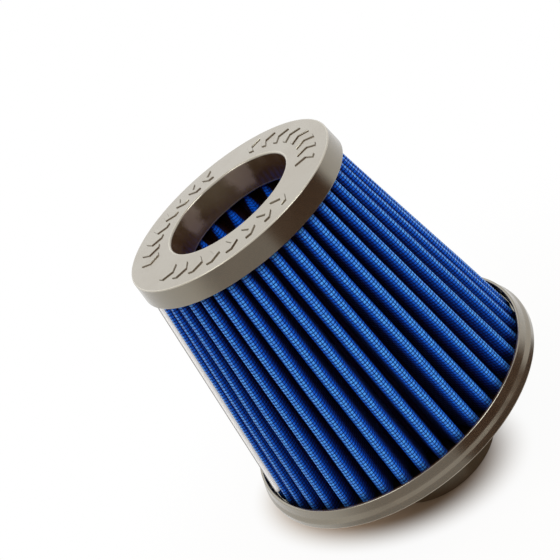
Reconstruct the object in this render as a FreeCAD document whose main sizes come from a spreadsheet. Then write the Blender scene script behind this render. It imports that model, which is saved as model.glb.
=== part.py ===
import FreeCAD, Part
import math
import os
import Sketcher

# A cone-shaped clamp-on air filter, standing on the mouth of its neck.
# The axis is +Z, and the origin is the centre of the neck's mouth. Lengths are in millimetres.

# Driving dimensions
SIZES = [
    ("neck_bore", 28.6, "radius of the bore that slides over the intake pipe"),
    ("neck_wall", 3.4, "wall of the neck"),
    ("neck_length", 40.0, "neck from its mouth to the underside of the base"),
    ("neck_root_round", 2.5, "fillet between neck and base"),
    ("neck_mouth_round", 0.8, "rounding of the neck's mouth"),
    ("bore_top_round", 2.0, "rounding where the bore opens into the filter"),
    ("body_height", 129.0, "underside of the base to the top face"),
    ("base_radius", 75.0, "outer radius of the base flange"),
    ("base_floor", 4.5, "floor of the base under the pleats"),
    ("base_height", 9.0, "underside of the base to the top of its lip"),
    ("flange_height", 3.2, "height of the flange's straight edge"),
    ("flange_edge_round", 0.5, "rounding of the flange's lower edge"),
    ("flange_top_round", 1.6, "rounding of the flange's upper edge"),
    ("collar_inset", 1.3, "from the flange's edge in to the collar"),
    ("collar_foot", 5.2, "height where the collar meets the flange"),
    ("collar_round", 2.0, "hollow between flange and collar"),
    ("lip_inset", 3.7, "from the flange's edge in to the inside of the lip"),
    ("lip_width", 1.3, "width of the lip"),
    ("lip_round", 0.5, "rounding of the lip"),
    ("bead_height", 4.0, "height of the bead inside the pleats"),
    ("bead_width", 3.0, "width of that bead"),
    ("bead_round", 1.0, "rounding of the bead"),
    ("top_radius", 52.6, "radius of the top face"),
    ("skirt_flare", 1.0, "how much wider the skirt is at its lower edge"),
    ("skirt_height", 9.75, "height of the top ring's side"),
    ("top_edge_round", 0.5, "rounding of the top face's outer edge"),
    ("skirt_edge_round", 0.4, "rounding of the skirt's lower edge"),
    ("roof", 4.5, "thickness of the top ring over the pleats"),
    ("hole_radius", 31.0, "radius of the hole in the top face"),
    ("hole_depth", 14.1, "depth of the wall round the hole"),
    ("hole_taper", 1.8, "how much narrower the hole is at the bottom of that wall"),
    ("hole_wall", 2.6, "thickness of the wall's lower end"),
    ("hole_rim_round", 0.9, "rounding of the hole's rim"),
    ("hole_end_round", 0.8, "rounding of the wall's lower end"),
    ("mark_inner", 37.2, "inner radius of the raised marks on the top face"),
    ("mark_outer", 46.4, "outer radius of the raised marks"),
    ("mark_point", 3.0, "how far the point of a mark leads its ends"),
    ("mark_stroke", 2.8, "stroke of one mark, measured round the face"),
    ("mark_relief", 0.5, "height of the marks over the top face"),
    ("mark_count", 8, "marks in one row"),
    ("mark_span", 84.0, "angle from the first to the last mark of a row, in degrees"),
    ("mark_rows", 3, "rows of marks round the face"),
    ("mark_turn", -155.0, "angle of the first mark, in degrees"),
    ("sheet", 1.0, "thickness of the folded sheet"),
    ("bend", 1.2, "inside radius of a fold"),
    ("bend_flats", 6, "flats that each bend is drawn with, an even number"),
    ("seam_gap", 0.2, "gap between the two ends of a sheet, in the middle of its seam crest"),
    ("fold_clearance", 0.3, "gap between the folds and the walls beside them"),
    ("pleat_count", 44, "folds of the outer sheet"),
    ("foot_inset", 4.5, "from the flange's edge in to the outer crests at the foot"),
    ("foot_depth", 13.5, "depth of the outer folds at the foot"),
    ("head_inset", 2.8, "from the top face's edge in to the outer crests at the head"),
    ("head_depth", 7.0, "depth of the outer folds at the head"),
    ("cone_count", 20, "folds of the inverted cone"),
    ("cone_height", 72.0, "height of the inverted cone"),
    ("cone_turn", 11.9, "turn of the inverted cone's folds, in degrees"),
    ("cone_gap", 0.5, "gap between the two folded sheets at their heads"),
    ("cone_head_depth", 6.0, "depth of its folds at the head"),
    ("cone_foot_crest", 27.0, "outer radius of the inverted cone at its foot"),
    ("cone_foot_depth", 5.5, "depth of its folds at the foot"),
    ("cap_floor", 3.5, "floor of the cap under the inverted cone"),
    ("cap_rim", 2.5, "width of the cap's rim"),
    ("cap_rim_height", 6.0, "height of the cap's rim over its floor"),
    ("cap_hub_height", 3.0, "height of the cap's raised middle"),
    ("cap_round", 1.0, "rounding of the cap's edges"),
    ("clip_gauge", 0.7, "thickness of the seam clips"),
    ("clip_clearance", 0.15, "gap between a clip and the crest it folds over"),
    ("clip_leg", 2.2, "length of the outer clip's legs"),
    ("cone_clip_leg", 2.2, "length of the inner clip's legs"),
    ("clip_end_gap", 0.8, "gap between the outer clip and the top ring"),
    ("seam_crest", 23, "crest that carries the outer seam, counted from +X"),
    ("cone_seam_crest", 12, "crest that carries the inner seam"),
    ("cone_clip_rise", 45.0, "length of the inner clip"),
]

# Dimensions that follow from those, so that the rings and the folds they hold keep together
DERIVED = [
    ("collar_radius", "=base_radius - collar_inset", "radius of the collar above the flange"),
    ("lip_radius", "=base_radius - lip_inset", "inner radius of the lip"),
    ("foot_crest", "=base_radius - foot_inset", "radius of the outer crests at the foot"),
    ("head_crest", "=top_radius - head_inset", "radius of the outer crests at the head"),
    ("cone_head_crest", "=head_crest - head_depth - sheet - cone_gap",
     "outer radius of the inverted cone at its head"),
]

doc = FreeCAD.newDocument("air_filter")
sheet = doc.addObject("Spreadsheet::Sheet", "sizes")
for row, (alias, value, meaning) in enumerate(SIZES + DERIVED, start=1):
    sheet.set(f"A{row}", meaning)
    sheet.set(f"B{row}", str(value))
    sheet.setAlias(f"B{row}", alias)
doc.recompute()

# Heights that several pieces share, as expressions of the sheet
BASE_FLOOR_TOP = "sizes.neck_length + sizes.base_floor"
LIP_TOP = "sizes.neck_length + sizes.base_height"
FACE = "sizes.neck_length + sizes.body_height"
ROOF_UNDERSIDE = FACE + " - sizes.roof"
SKIRT_EDGE = FACE + " - sizes.skirt_height"
HOLE_END = FACE + " - sizes.hole_depth"
CONE_FOOT = ROOF_UNDERSIDE + " - sizes.cone_height"

# The same heights as numbers, for the folded sheets
base_floor_top = sheet.neck_length + sheet.base_floor
face = sheet.neck_length + sheet.body_height
roof_underside = face - sheet.roof
cone_foot = roof_underside - sheet.cone_height


# Sketched and turned pieces: a sketch's corners start on a circle, which this centre and radius give.
START_ACROSS = 40
START_ALONG = 60
START_RADIUS = 20
SAME_PLACE = 1e-4


def origin_feature(body, role):
    """A plane or an axis of a body's origin."""
    return next(item for item in body.Origin.OriginFeatures if item.Role == role)


def outline_sketch(body, name, role, corners):
    """A closed outline of straight lines. Each corner is a pair of expressions, or 0 on an axis."""
    sketch = body.newObject("Sketcher::SketchObject", name)
    sketch.AttachmentSupport = (origin_feature(body, role), [""])
    sketch.MapMode = "FlatFace"
    count = len(corners)
    start = []
    for i in range(count):
        turn = 2 * math.pi * i / count
        start.append(FreeCAD.Vector(START_ACROSS + START_RADIUS * math.cos(turn),
                                    START_ALONG + START_RADIUS * math.sin(turn), 0))
    for i in range(count):
        sketch.addGeometry(Part.LineSegment(start[i], start[(i + 1) % count]), False)
    for i in range(count):
        sketch.addConstraint(Sketcher.Constraint("Coincident", i, 2, (i + 1) % count, 1))
    # The dimensions move the corners into place.
    for i, (across, along) in enumerate(corners):
        place(sketch, i, "DistanceX", across, start[i].x, -2)
        place(sketch, i, "DistanceY", along, start[i].y, -1)
    return sketch


def place(sketch, line, kind, expression, value, axis):
    """Dimension a line's start point from the origin, or put it on the axis where it is zero."""
    if expression == 0:
        sketch.addConstraint(Sketcher.Constraint("PointOnObject", line, 1, axis))
    else:
        index = sketch.addConstraint(Sketcher.Constraint(kind, -1, 1, line, 1, value))
        sketch.setExpression(f"Constraints[{index}]", expression)


def turned(label, corners):
    """A body turned about the axis from an outline of radius and height pairs."""
    body = doc.addObject("PartDesign::Body", label)
    body.Label = label
    sketch = outline_sketch(body, label + "_section", "XZ_Plane", corners)
    solid = body.newObject("PartDesign::Revolution", label + "_turned")
    solid.Profile = sketch
    solid.ReferenceAxis = (sketch, ["V_Axis"])
    solid.Angle = 360
    sketch.Visibility = False
    doc.recompute()
    return body


def round_edges(body, name, size, places):
    """Round the circular edges at the given radius and height pairs by a size of the sheet."""
    base = body.Tip
    names = []
    for index, edge in enumerate(base.Shape.Edges, start=1):
        if not isinstance(edge.Curve, Part.Circle):
            continue
        for radius, height in places:
            same_radius = abs(edge.Curve.Radius - radius) < SAME_PLACE
            if same_radius and abs(edge.Curve.Center.z - height) < SAME_PLACE:
                names.append(f"Edge{index}")
    if len(names) != len(places):
        raise RuntimeError(f"{name}: {len(names)} edges found, {len(places)} expected")
    fillet = body.newObject("PartDesign::Fillet", name)
    fillet.Base = (base, names)
    fillet.setExpression("Radius", "sizes." + size)
    doc.recompute()


# Base ring with its neck: the bead's outer wall runs parallel to the roots of the outer folds.
NECK_OUTER = "sizes.neck_bore + sizes.neck_wall"
GROOVE_OUTER = "sizes.foot_crest + sizes.fold_clearance"
BEAD_OUTER = "sizes.foot_crest - sizes.foot_depth - sizes.sheet - sizes.fold_clearance"
ROOT_SLOPE = ("(sizes.foot_crest - sizes.foot_depth - sizes.head_crest + sizes.head_depth)"
              " / (sizes.body_height - sizes.base_floor - sizes.roof)")
BEAD_TOP = BASE_FLOOR_TOP + " + sizes.bead_height"
BEAD_TOP_OUTER = f"{BEAD_OUTER} - sizes.bead_height * {ROOT_SLOPE}"
BEAD_INNER = BEAD_TOP_OUTER + " - sizes.bead_width"
base_ring = turned("base_ring", [
    ("sizes.neck_bore", 0),
    (NECK_OUTER, 0),
    (NECK_OUTER, "sizes.neck_length"),
    ("sizes.base_radius", "sizes.neck_length"),
    ("sizes.base_radius", "sizes.neck_length + sizes.flange_height"),
    ("sizes.collar_radius", "sizes.neck_length + sizes.collar_foot"),
    ("sizes.lip_radius + sizes.lip_width", LIP_TOP),
    ("sizes.lip_radius", LIP_TOP),
    (GROOVE_OUTER, BASE_FLOOR_TOP),
    (BEAD_OUTER, BASE_FLOOR_TOP),
    (BEAD_TOP_OUTER, BEAD_TOP),
    (BEAD_INNER, BEAD_TOP),
    (BEAD_INNER, BASE_FLOOR_TOP),
    ("sizes.neck_bore", BASE_FLOOR_TOP),
])
neck_outer = sheet.neck_bore + sheet.neck_wall
lip_top = sheet.neck_length + sheet.base_height
bead_outer = sheet.foot_crest - sheet.foot_depth - sheet.sheet - sheet.fold_clearance
root_drop = sheet.foot_crest - sheet.foot_depth - sheet.head_crest + sheet.head_depth
bead_top = base_floor_top + sheet.bead_height
bead_top_outer = bead_outer - sheet.bead_height * root_drop / (roof_underside - base_floor_top)
round_edges(base_ring, "neck_root", "neck_root_round", [(neck_outer, sheet.neck_length)])
round_edges(base_ring, "neck_mouth", "neck_mouth_round", [(neck_outer, 0), (sheet.neck_bore, 0)])
round_edges(base_ring, "bore_top", "bore_top_round", [(sheet.neck_bore, base_floor_top)])
round_edges(base_ring, "flange_edge", "flange_edge_round", [(sheet.base_radius, sheet.neck_length)])
round_edges(base_ring, "flange_top", "flange_top_round",
            [(sheet.base_radius, sheet.neck_length + sheet.flange_height)])
round_edges(base_ring, "collar_foot", "collar_round",
            [(sheet.collar_radius, sheet.neck_length + sheet.collar_foot)])
round_edges(base_ring, "lip", "lip_round",
            [(sheet.lip_radius, lip_top), (sheet.lip_radius + sheet.lip_width, lip_top)])
round_edges(base_ring, "bead", "bead_round",
            [(bead_top_outer, bead_top), (bead_top_outer - sheet.bead_width, bead_top)])

# Top ring: the skirt's inner wall runs parallel to the crests of the outer folds.
CREST_SLOPE = ("(sizes.foot_crest - sizes.head_crest)"
               " / (sizes.body_height - sizes.base_floor - sizes.roof)")
SKIRT_INNER = ("sizes.head_crest + sizes.fold_clearance"
               f" + (sizes.skirt_height - sizes.roof) * {CREST_SLOPE}")
WALL_END_INNER = "sizes.hole_radius - sizes.hole_taper"
WALL_END_OUTER = WALL_END_INNER + " + sizes.hole_wall"
top_ring = turned("top_ring", [
    ("sizes.hole_radius", FACE),
    (WALL_END_INNER, HOLE_END),
    (WALL_END_OUTER, HOLE_END),
    (WALL_END_OUTER, ROOF_UNDERSIDE),
    ("sizes.head_crest + sizes.fold_clearance", ROOF_UNDERSIDE),
    (SKIRT_INNER, SKIRT_EDGE),
    ("sizes.top_radius + sizes.skirt_flare", SKIRT_EDGE),
    ("sizes.top_radius", FACE),
])
skirt_edge = face - sheet.skirt_height
hole_end = face - sheet.hole_depth
wall_end_inner = sheet.hole_radius - sheet.hole_taper
round_edges(top_ring, "top_edge", "top_edge_round", [(sheet.top_radius, face)])
round_edges(top_ring, "skirt_edge", "skirt_edge_round",
            [(sheet.top_radius + sheet.skirt_flare, skirt_edge)])
round_edges(top_ring, "hole_rim", "hole_rim_round", [(sheet.hole_radius, face)])
round_edges(top_ring, "hole_end", "hole_end_round",
            [(wall_end_inner, hole_end), (wall_end_inner + sheet.hole_wall, hole_end)])


# Raised chevrons on the top face, in rows
def chevron_row(body, row):
    """One row of plain chevrons that point round the face, one sketched and the rest patterned."""
    name = f"mark_row_{row + 1}"
    middle = "(sizes.mark_inner + sizes.mark_outer) / 2"
    sketch = outline_sketch(body, name + "_outline", "XY_Plane", [
        ("sizes.mark_inner", 0),
        (middle, "sizes.mark_point"),
        ("sizes.mark_outer", 0),
        ("sizes.mark_outer", "sizes.mark_stroke"),
        (middle, "sizes.mark_point + sizes.mark_stroke"),
        ("sizes.mark_inner", "sizes.mark_stroke"),
    ])
    sketch.setExpression("AttachmentOffset.Base.z", FACE)
    sketch.setExpression("AttachmentOffset.Rotation.Angle",
                         f"sizes.mark_turn + {row} * 360 / sizes.mark_rows")
    mark = body.newObject("PartDesign::Pad", name + "_mark")
    mark.Profile = sketch
    mark.setExpression("Length", "sizes.mark_relief")
    sketch.Visibility = False
    doc.recompute()
    pattern = body.newObject("PartDesign::PolarPattern", name)
    pattern.Originals = [mark]
    pattern.Axis = (origin_feature(body, "Z_Axis"), [""])
    pattern.setExpression("Angle", "sizes.mark_span")
    pattern.setExpression("Occurrences", "sizes.mark_count")
    body.Tip = pattern
    doc.recompute()


for row in range(int(sheet.mark_rows)):
    chevron_row(top_ring, row)

# Cap of the inverted cone: its rim follows the folds, which widen upwards.
CONE_SLOPE = "(sizes.cone_head_crest - sizes.cone_foot_crest) / sizes.cone_height"
CAP_CHANNEL = "sizes.cone_foot_crest + sizes.fold_clearance"
CAP_RIM_INNER = f"{CAP_CHANNEL} + sizes.cap_rim_height * {CONE_SLOPE}"
CAP_HUB = "sizes.cone_foot_crest - sizes.cone_foot_depth - sizes.sheet - sizes.fold_clearance"
CAP_UNDERSIDE = CONE_FOOT + " - sizes.cap_floor"
cone_cap = turned("cone_cap", [
    (0, CAP_UNDERSIDE),
    (CAP_CHANNEL + " + sizes.cap_rim", CAP_UNDERSIDE),
    (CAP_RIM_INNER + " + sizes.cap_rim", CONE_FOOT + " + sizes.cap_rim_height"),
    (CAP_RIM_INNER, CONE_FOOT + " + sizes.cap_rim_height"),
    (CAP_CHANNEL, CONE_FOOT),
    (CAP_HUB, CONE_FOOT),
    (CAP_HUB, CONE_FOOT + " + sizes.cap_hub_height"),
    (0, CONE_FOOT + " + sizes.cap_hub_height"),
])
cap_channel = sheet.cone_foot_crest + sheet.fold_clearance
cap_hub = sheet.cone_foot_crest - sheet.cone_foot_depth - sheet.sheet - sheet.fold_clearance
round_edges(cone_cap, "cap_edges", "cap_round",
            [(cap_channel + sheet.cap_rim, cone_foot - sheet.cap_floor),
             (cap_hub, cone_foot + sheet.cap_hub_height)])


# Folded sheets
bend_flats = int(sheet.bend_flats)


class Fold:
    """One level of a folded sheet: where its crests and roots lie, and how its flanks run."""

    def __init__(self, count, crest, depth, height):
        self.count = count
        self.crest = crest
        self.root = crest - depth
        self.height = height
        self.half = math.pi / count
        outer_bend = sheet.bend + sheet.sheet
        self.crest_centre = self.crest - outer_bend
        self.root_centre = self.root + sheet.bend
        # The flank is the line that touches the crest's bend on one side and the root's on the other.
        across = self.root_centre * math.cos(self.half) - self.crest_centre
        along = self.root_centre * math.sin(self.half)
        gap = math.hypot(across, along)
        self.flank = math.atan2(along, across) - math.acos((outer_bend + sheet.bend) / gap)

    def point(self, centre, radius, angle, turn):
        """A point on a bend: its centre lies at angle, and turn is measured from that direction."""
        return FreeCAD.Vector(centre * math.cos(angle) + radius * math.cos(angle + turn),
                              centre * math.sin(angle) + radius * math.sin(angle + turn), self.height)

    def bend(self, centre, radius, angle, first, last, flats):
        """The corners of a bend, drawn with flats between two turns."""
        turns = [first + (last - first) * i / flats for i in range(flats + 1)]
        return [self.point(centre, radius, angle, turn) for turn in turns]

    def side(self, inside, seam_at):
        """One surface of the sheet as an open line, from its seam round to its seam again."""
        crest_bend = sheet.bend if inside else sheet.bend + sheet.sheet
        root_bend = sheet.bend + sheet.sheet if inside else sheet.bend
        slit = math.asin(sheet.seam_gap / 2 / crest_bend)
        # Seen from a root, the flanks beside it lie this far from the way to the axis.
        sweep = self.flank - self.half

        def crest(angle, first, last, flats):
            return self.bend(self.crest_centre, crest_bend, angle, first, last, flats)

        corners = crest(seam_at, slit, self.flank, bend_flats // 2)
        for fold in range(self.count):
            root_at = seam_at + self.half * (2 * fold + 1)
            corners += self.bend(self.root_centre, root_bend, root_at,
                                 math.pi + sweep, math.pi - sweep, bend_flats)
            if fold < self.count - 1:
                corners += crest(root_at + self.half, -self.flank, self.flank, bend_flats)
        return corners + crest(seam_at, -self.flank, -slit, bend_flats // 2)

    def outline(self, seam_at):
        """The closed line of the whole sheet: along its outer side and back along its inner side."""
        corners = self.side(False, seam_at) + self.side(True, seam_at)[::-1]
        return Part.makePolygon(corners + corners[:1])

    def clip(self, angle, leg):
        """The closed line of a clip folded over one crest, with its legs along the flanks."""
        near = sheet.bend + sheet.sheet + sheet.clip_clearance
        far = near + sheet.clip_gauge
        outer = self.bend(self.crest_centre, far, angle, -self.flank, self.flank, bend_flats)
        inner = self.bend(self.crest_centre, near, angle, self.flank, -self.flank, bend_flats)
        legs = []
        for side in (-1, 1):
            way = angle + side * (self.flank + math.pi / 2)
            legs.append(FreeCAD.Vector(math.cos(way), math.sin(way), 0) * leg)
        corners = outer + [outer[-1] + legs[1], inner[0] + legs[1]]
        corners += inner + [inner[-1] + legs[0], outer[0] + legs[0]]
        return Part.makePolygon(corners + corners[:1])


def section(name, wire):
    feature = doc.addObject("Part::Feature", name)
    feature.Shape = wire
    feature.Visibility = False
    return feature


def ruled(label, foot, head):
    """A solid with straight lines from one closed outline to another."""
    loft = doc.addObject("Part::Loft", label)
    loft.Label = label
    loft.Sections = [section(label + "_foot", foot), section(label + "_head", head)]
    loft.Solid = True
    loft.Ruled = True
    return loft


def between(foot, head, height):
    """The level of a folded sheet at a height between its foot and its head."""
    share = (height - foot.height) / (head.height - foot.height)
    crest = foot.crest + share * (head.crest - foot.crest)
    root = foot.root + share * (head.root - foot.root)
    return Fold(foot.count, crest, crest - root, height)


pleat_count = int(sheet.pleat_count)
foot = Fold(pleat_count, sheet.foot_crest, sheet.foot_depth, base_floor_top)
head = Fold(pleat_count, sheet.head_crest, sheet.head_depth, roof_underside)
seam_angle = 2 * math.pi * sheet.seam_crest / pleat_count
outer_pleats = ruled("outer_pleats", foot.outline(seam_angle), head.outline(seam_angle))

cone_count = int(sheet.cone_count)
cone_low = Fold(cone_count, sheet.cone_foot_crest, sheet.cone_foot_depth, cone_foot)
cone_high = Fold(cone_count, sheet.cone_head_crest, sheet.cone_head_depth, roof_underside)
cone_seam_angle = math.radians(sheet.cone_turn) + 2 * math.pi * sheet.cone_seam_crest / cone_count
inner_pleats = ruled("inner_pleats", cone_low.outline(cone_seam_angle), cone_high.outline(cone_seam_angle))


def seam_clip(label, foot, head, low, high, angle, leg):
    """A clip folded over one crest of a sheet, from one height to another."""
    ends = [between(foot, head, height).clip(angle, leg) for height in (low, high)]
    return ruled(label, *ends)


# Seam clips: one over a crest of each sheet
outer_seam_clip = seam_clip("outer_seam_clip", foot, head, lip_top, skirt_edge - sheet.clip_end_gap,
                            seam_angle, sheet.clip_leg)
cone_clip_low = cone_foot + sheet.cap_rim_height + sheet.clip_end_gap
inner_seam_clip = seam_clip("inner_seam_clip", cone_low, cone_high, cone_clip_low,
                            cone_clip_low + sheet.cone_clip_rise, cone_seam_angle, sheet.cone_clip_leg)
doc.recompute()

# Every object has to be sound before anything is written.
for item in doc.Objects:
    if "Invalid" in item.State or "Error" in item.State:
        raise RuntimeError(f"{item.Name} failed: {item.State}")
PIECES = [top_ring, base_ring, outer_pleats, inner_pleats, cone_cap, outer_seam_clip, inner_seam_clip]
for piece in PIECES:
    shape = piece.Shape
    if shape.isNull() or not shape.isValid() or len(shape.Solids) != 1:
        raise RuntimeError(f"{piece.Label} isn't one sound solid")
    print(f"{piece.Label}: {shape.Volume / 1000:.2f} cm3, {len(shape.Faces)} faces")

os.makedirs("parts", exist_ok=True)
for piece in PIECES:
    piece.Shape.exportStep(f"parts/{piece.Label}.step")
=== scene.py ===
# %% [markdown]
# # A cone air filter on a white table
# The filter is a folded blue mesh between two moulded rings. Its solids come packed from the CAD
# model and fix every size and place. This lesson gives each of them the shape detail and the finish
# that a close look would show: the rounded moulded edges, the weave on every fold, the bright clip
# over the seam. All lengths are in metres, and the axis of the filter is +Z.

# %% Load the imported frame
import math

import bmesh
import bpy
from mathutils import Matrix, Vector


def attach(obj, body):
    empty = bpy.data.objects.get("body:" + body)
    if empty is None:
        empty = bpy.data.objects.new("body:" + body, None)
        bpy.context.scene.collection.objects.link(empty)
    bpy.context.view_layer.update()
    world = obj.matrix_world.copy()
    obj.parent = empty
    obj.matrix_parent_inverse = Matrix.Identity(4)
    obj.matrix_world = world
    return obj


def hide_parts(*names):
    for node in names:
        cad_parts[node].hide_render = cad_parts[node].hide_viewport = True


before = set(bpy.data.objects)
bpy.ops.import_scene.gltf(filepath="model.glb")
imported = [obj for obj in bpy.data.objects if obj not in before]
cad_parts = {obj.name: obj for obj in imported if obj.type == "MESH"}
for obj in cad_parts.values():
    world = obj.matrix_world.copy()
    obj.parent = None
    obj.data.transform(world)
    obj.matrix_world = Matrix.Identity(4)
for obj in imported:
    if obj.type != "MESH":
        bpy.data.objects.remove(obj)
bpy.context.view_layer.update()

MM = 0.001

# %% [markdown]
# ## The camera
# The camera comes first, because every later choice is judged through it. Its place, tilt, roll and
# lens were fitted to the circles of the two rings, the hole and the neck. The filter itself stands
# upright, so the slant of the picture comes from rolling the camera about its own line of sight.

# %% Camera
CAMERA_PLACE = Vector((-4.4 * MM, -437.0 * MM, 324.12 * MM))
CAMERA_TILT = math.radians(24.51)
CAMERA_ROLL = math.radians(-40.57)
CAMERA_LENS, CAMERA_SENSOR = 69.67, 36.0

camera_data = bpy.data.cameras.new("camera")
camera_data.lens = CAMERA_LENS
camera_data.sensor_width = CAMERA_SENSOR
camera = bpy.data.objects.new("camera", camera_data)
bpy.context.scene.collection.objects.link(camera)
look = Matrix.Rotation(math.pi / 2 - CAMERA_TILT, 4, "X") @ Matrix.Rotation(CAMERA_ROLL, 4, "Z")
camera.matrix_world = Matrix.Translation(CAMERA_PLACE) @ look
bpy.context.scene.camera = camera
bpy.context.scene.view_settings.view_transform = "Standard"
print("camera looks along", [round(v, 3) for v in look.to_3x3() @ Vector((0, 0, -1))])

# %% [markdown]
# ## Helpers for node trees
# Materials and Geometry Nodes are both trees of nodes. Building them in code stays readable when
# one small function makes a node, sets its options and fills its sockets, each with either a value
# or a link from another node. The other functions are short names for the nodes used most.

# %% Node helpers
LEVEL = (1.0, 1.0, 0.0)


def set_inputs(tree, node, values):
    """Fill a node's sockets, by name or number, with values or with other nodes' outputs."""
    for key, value in values.items():
        if isinstance(value, bpy.types.NodeSocket):
            tree.links.new(value, node.inputs[key])
        else:
            node.inputs[key].default_value = value


def add_node(tree, kind, inputs=None, **options):
    """Add a node, set its options and fill its sockets."""
    node = tree.nodes.new(kind)
    for option, value in options.items():
        setattr(node, option, value)
    set_inputs(tree, node, inputs or {})
    return node


def calc(tree, operation, *values):
    """The output of a Math node."""
    return add_node(tree, "ShaderNodeMath", dict(enumerate(values)), operation=operation).outputs[0]


def product(tree, result, *others):
    """Several values multiplied, one Math node after another."""
    for other in others:
        result = calc(tree, "MULTIPLY", result, other)
    return result


def vector(tree, operation, *values):
    """The output of a Vector Math node: a number for a length or a dot product, otherwise a vector."""
    node = add_node(tree, "ShaderNodeVectorMath", dict(enumerate(values)), operation=operation)
    return node.outputs["Value" if operation in ("LENGTH", "DOT_PRODUCT") else "Vector"]


def heading(tree, way):
    """The level part of a vector, of length 1."""
    return vector(tree, "NORMALIZE", vector(tree, "MULTIPLY", way, LEVEL))


def along(tree, spot, axis):
    """The X, Y or Z part of a vector."""
    return add_node(tree, "ShaderNodeSeparateXYZ", {0: spot}).outputs[axis]


def object_place(tree):
    """Where a spot of a surface lies, in the object's own frame."""
    return add_node(tree, "ShaderNodeTexCoord").outputs["Object"]


def mesh_value(tree, name):
    """A number that the mesh carries under a name."""
    return add_node(tree, "ShaderNodeAttribute", attribute_name=name).outputs["Fac"]


def smooth_step(tree, value, low, high, to_low=0.0, to_high=1.0):
    """The output of a Map Range node that eases from one value to another."""
    inputs = {"Value": value, "From Min": low, "From Max": high, "To Min": to_low, "To Max": to_high}
    return add_node(tree, "ShaderNodeMapRange", inputs, interpolation_type="SMOOTHSTEP").outputs[0]


def blend_colour(tree, factor, first, second):
    """The colour output of a Mix node. A colour may be an RGBA tuple or another node's output."""
    node = add_node(tree, "ShaderNodeMix", data_type="RGBA")
    for name, value in (("Factor_Float", factor), ("A_Color", first), ("B_Color", second)):
        socket = next(s for s in node.inputs if s.identifier == name)
        if isinstance(value, bpy.types.NodeSocket):
            tree.links.new(value, socket)
        else:
            socket.default_value = value
    return next(s for s in node.outputs if s.identifier == "Result_Color")


def node_group(name, kind, inputs, outputs):
    """A new node group with named sockets, given as (name, socket type, default) and (name, type)."""
    tree = bpy.data.node_groups.new(name, kind)
    for label, socket_type, default in inputs:
        socket = tree.interface.new_socket(label, in_out="INPUT", socket_type=socket_type)
        if default is not None:
            socket.default_value = default
    for label, socket_type in outputs:
        tree.interface.new_socket(label, in_out="OUTPUT", socket_type=socket_type)
    return tree, tree.nodes.new("NodeGroupInput"), tree.nodes.new("NodeGroupOutput")


def new_material(name):
    """A material with its node tree, its Principled BSDF and nothing else."""
    material = bpy.data.materials.new(name)
    material.use_nodes = True
    return material, material.node_tree, material.node_tree.nodes["Principled BSDF"]


print("node helpers ready")

# %% [markdown]
# ## The floor
# Under the filter the floor is a matt surface in a soft oval that holds the shadow, and there its colour
# turns warm brown, a painted shadow. Round that oval it turns to plain white, for the eye and for
# reflections. What a glossy side mirrors of the floor is dimmer in front, and dark in one sector to the
# front right, a painted dark reflection that only mirrored rays see.

# %% Floor
FLOOR_HALF = 6.0
FLOOR_PALE = (0.80, 0.72, 0.60, 1.0)
# Inside the oval the floor's colour is this warm brown: a painted shadow
FLOOR_PAINTED_SHADOW = (0.42, 0.29, 0.19, 1.0)
WHITE = (1.0, 1.0, 1.0, 1.0)
# The oval: how it is turned, shifted and squeezed, its soft edge, and the white that it takes away
POOL_TURN = math.radians(140.0)
POOL_SHIFT = (-10.0 * MM, 33.0 * MM, 0.0)
POOL_SQUEEZE = (1.0, 0.57, 0.0)
POOL_START, POOL_END, POOL_SHARE = 33.0 * MM, 52.0 * MM, 0.95
FAR_START, FAR_END = 0.08, 0.24
# The painted dark reflection, in a sector and in front: where each starts and ends, and the white that is
# left there
MIRROR_WAY = (0.7071, -0.7071, 0.0)
MIRROR_PALE, MIRROR_DARK, MIRROR_LEFT = 0.68, 0.86, 0.05
FRONT_PALE, FRONT_DIM, FRONT_LEFT = -0.15, -0.70, 0.46


def dim_front(tree, way):
    """The share of white that is missing that way: some in front, most in the front right sector."""
    level_way = heading(tree, way)
    across = vector(tree, "DOT_PRODUCT", level_way, MIRROR_WAY)
    sector = smooth_step(tree, across, MIRROR_PALE, MIRROR_DARK, 0.0, 1.0 - MIRROR_LEFT)
    ahead = along(tree, level_way, "Y")
    front = smooth_step(tree, ahead, FRONT_DIM, FRONT_PALE, 1.0 - FRONT_LEFT, 0.0)
    return calc(tree, "MAXIMUM", sector, front)


def kinds_of_ray(tree):
    """Whether a ray looks at the scene, straight, mirrored or through glass, and whether it is mirrored."""
    path = add_node(tree, "ShaderNodeLightPath")
    looking = calc(tree, "MAXIMUM", path.outputs["Is Camera Ray"], path.outputs["Is Glossy Ray"])
    looking = calc(tree, "MAXIMUM", looking, path.outputs["Is Transmission Ray"])
    return looking, path.outputs["Is Glossy Ray"]


floor_mesh = bpy.data.meshes.new("floor")
floor_corners = [(-1, -1), (1, -1), (1, 1), (-1, 1)]
floor_mesh.from_pydata([(x * FLOOR_HALF, y * FLOOR_HALF, 0.0) for x, y in floor_corners], [], [(0, 1, 2, 3)])
floor = bpy.data.objects.new("floor", floor_mesh)
bpy.context.scene.collection.objects.link(floor)

floor_paint, tree, floor_shader = new_material("table_white")
place = object_place(tree)
pool_spot = add_node(tree, "ShaderNodeMapping", {
    "Vector": place, "Rotation": (0.0, 0.0, POOL_TURN), "Location": POOL_SHIFT}).outputs[0]
pool_reach = vector(tree, "LENGTH", vector(tree, "MULTIPLY", pool_spot, POOL_SQUEEZE))
pool = smooth_step(tree, pool_reach, POOL_START, POOL_END, 1.0, 0.0)
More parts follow.
